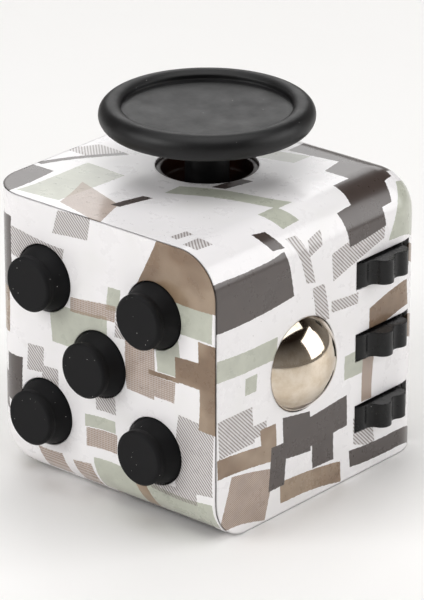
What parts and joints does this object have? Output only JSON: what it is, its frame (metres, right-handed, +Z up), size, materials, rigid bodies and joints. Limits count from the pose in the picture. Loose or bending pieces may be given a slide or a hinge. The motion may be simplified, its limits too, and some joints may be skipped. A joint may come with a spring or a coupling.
{
  "type": "fidget cube",
  "caption": "Palm-sized cube toy with press buttons, a tilting and spinning disc stick, a click ball, index wheels, a rocker switch, a spin dial and a thumb hollow.",
  "frame": {"origin": "middle of the side the cube stands on, which is the side with the thumb hollow", "axes": "+Z up to the joystick side, -Y the side with five buttons, +X the side with the ball and the wheels, +Y the rocker switch, -X the spin dial"},
  "size_m": [0.038, 0.0404, 0.0404],
  "materials": {
    "shell_film": "white ABS moulding with a water-transfer pixel camouflage film under clear lacquer",
    "black_silicone": "matte black silicone",
    "black_abs": "fine satin moulded ABS",
    "nickel": "bright plated",
    "steel": "zinc plated",
    "spring_brass": "rolled spring strip",
    "grey_pom": "natural grey moulded acetal",
    "board_green": "glass-epoxy board with solder resist"
  },
  "bodies": {
    "case": {"shell_top_right_back": "shell_film", "shell_front_bottom_left": "shell_film", "button_pad": "black_silicone", "click_domes": "steel", "button_board": "board_green", "board_screws": "steel", "gimbal_frame": "grey_pom", "frame_screws": "steel", "stick_boot": "black_silicone", "ball_snap": "steel", "ball_guide": "grey_pom", "guide_screws": "steel", "gear_axle": "steel", "gear_bracket": "grey_pom", "bracket_screws": "steel", "gear_leaf_spring": "spring_brass", "rocker_pin": "steel", "rocker_cradle": "grey_pom", "cradle_screws": "steel", "rocker_leaf_spring": "spring_brass", "dial_wave_washer": "spring_brass"},
    "button_1_body": {"button_1": "black_silicone"},
    "button_2_body": {"button_2": "black_silicone"},
    "button_3_body": {"button_3": "black_silicone"},
    "button_4_body": {"button_4": "black_silicone"},
    "button_5_body": {"button_5": "black_silicone"},
    "tilt_ring": {"gimbal_ring": "grey_pom", "ring_pins": "steel"},
    "stick": {"stick_hub": "black_abs", "hub_pins": "steel"},
    "cap": {"joystick_cap": "black_abs", "cap_screw": "steel", "cap_washer": "steel"},
    "ball_slide": {"ball_cup": "grey_pom"},
    "ball_body": {"ball": "nickel"},
    "gear_1_body": {"gear_wheel_1": "black_abs"},
    "gear_2_body": {"gear_wheel_2": "black_abs"},
    "gear_3_body": {"gear_wheel_3": "black_abs"},
    "rocker_body": {"rocker": "black_abs"},
    "dial_body": {"spin_dial": "black_abs", "dial_washer": "steel", "dial_screw": "steel"}
  },
  "joints": [
    {"name": "button_1_press", "type": "slide", "parent": "case", "child": "button_1_body", "axis": [0, 1, 0], "range_m": [0, 0.0008], "stiffness_N_per_m": 1500, "deforming": ["button_pad"]},
    {"name": "button_2_press", "type": "slide", "parent": "case", "child": "button_2_body", "axis": [0, 1, 0], "range_m": [0, 0.0008], "stiffness_N_per_m": 1500, "deforming": ["button_pad"]},
    {"name": "button_3_press", "type": "slide", "parent": "case", "child": "button_3_body", "axis": [0, 1, 0], "range_m": [0, 0.0008], "stiffness_N_per_m": 1500, "deforming": ["button_pad"]},
    {"name": "button_4_press", "type": "slide", "parent": "case", "child": "button_4_body", "axis": [0, 1, 0], "range_m": [0, 0.0008], "stiffness_N_per_m": 1500, "deforming": ["button_pad"]},
    {"name": "button_5_press", "type": "slide", "parent": "case", "child": "button_5_body", "axis": [0, 1, 0], "range_m": [0, 0.0008], "stiffness_N_per_m": 1500, "deforming": ["button_pad"]},
    {"name": "stick_tilt_front_back", "type": "hinge", "parent": "case", "child": "tilt_ring", "pos_m": [-0.002, 0.002, 0.025], "axis": [1, 0, 0], "range_deg": [-8, 8], "stiffness_Nm_per_rad": 0.02, "deforming": ["stick_boot"]},
    {"name": "stick_tilt_left_right", "type": "hinge", "parent": "tilt_ring", "child": "stick", "pos_m": [-0.002, 0.002, 0.025], "axis": [0, 1, 0], "range_deg": [-8, 8], "stiffness_Nm_per_rad": 0.02},
    {"name": "cap_spin", "type": "hinge", "parent": "stick", "child": "cap", "pos_m": [-0.002, 0.002, 0.025], "axis": [0, 0, 1], "continuous": true},
    {"name": "ball_press", "type": "slide", "parent": "case", "child": "ball_slide", "axis": [-1, 0, 0], "range_m": [0, 0.0006], "stiffness_N_per_m": 2500, "deforming": ["ball_snap"]},
    {"name": "ball_roll", "type": "hinge", "parent": "ball_slide", "child": "ball_body", "pos_m": [0.0132, -0.0037, 0.0165], "axis": [0, 0, 1], "continuous": true},
    {"name": "gear_1_spin", "type": "hinge", "parent": "case", "child": "gear_1_body", "pos_m": [0.0132, 0.0098, 0.0238], "axis": [0, 0, 1], "continuous": true},
    {"name": "gear_2_spin", "type": "hinge", "parent": "case", "child": "gear_2_body", "pos_m": [0.0132, 0.0098, 0.0153], "axis": [0, 0, 1], "continuous": true},
    {"name": "gear_3_spin", "type": "hinge", "parent": "case", "child": "gear_3_body", "pos_m": [0.0132, 0.0098, 0.0068], "axis": [0, 0, 1], "continuous": true},
    {"name": "rocker_flip", "type": "hinge", "parent": "case", "child": "rocker_body", "pos_m": [0, 0.0152, 0.0165], "axis": [1, 0, 0], "range_deg": [0, 20], "deforming": ["rocker_leaf_spring"]},
    {"name": "dial_spin", "type": "hinge", "parent": "case", "child": "dial_body", "pos_m": [-0.0165, 0, 0.0165], "axis": [-1, 0, 0], "continuous": true}
  ]
}
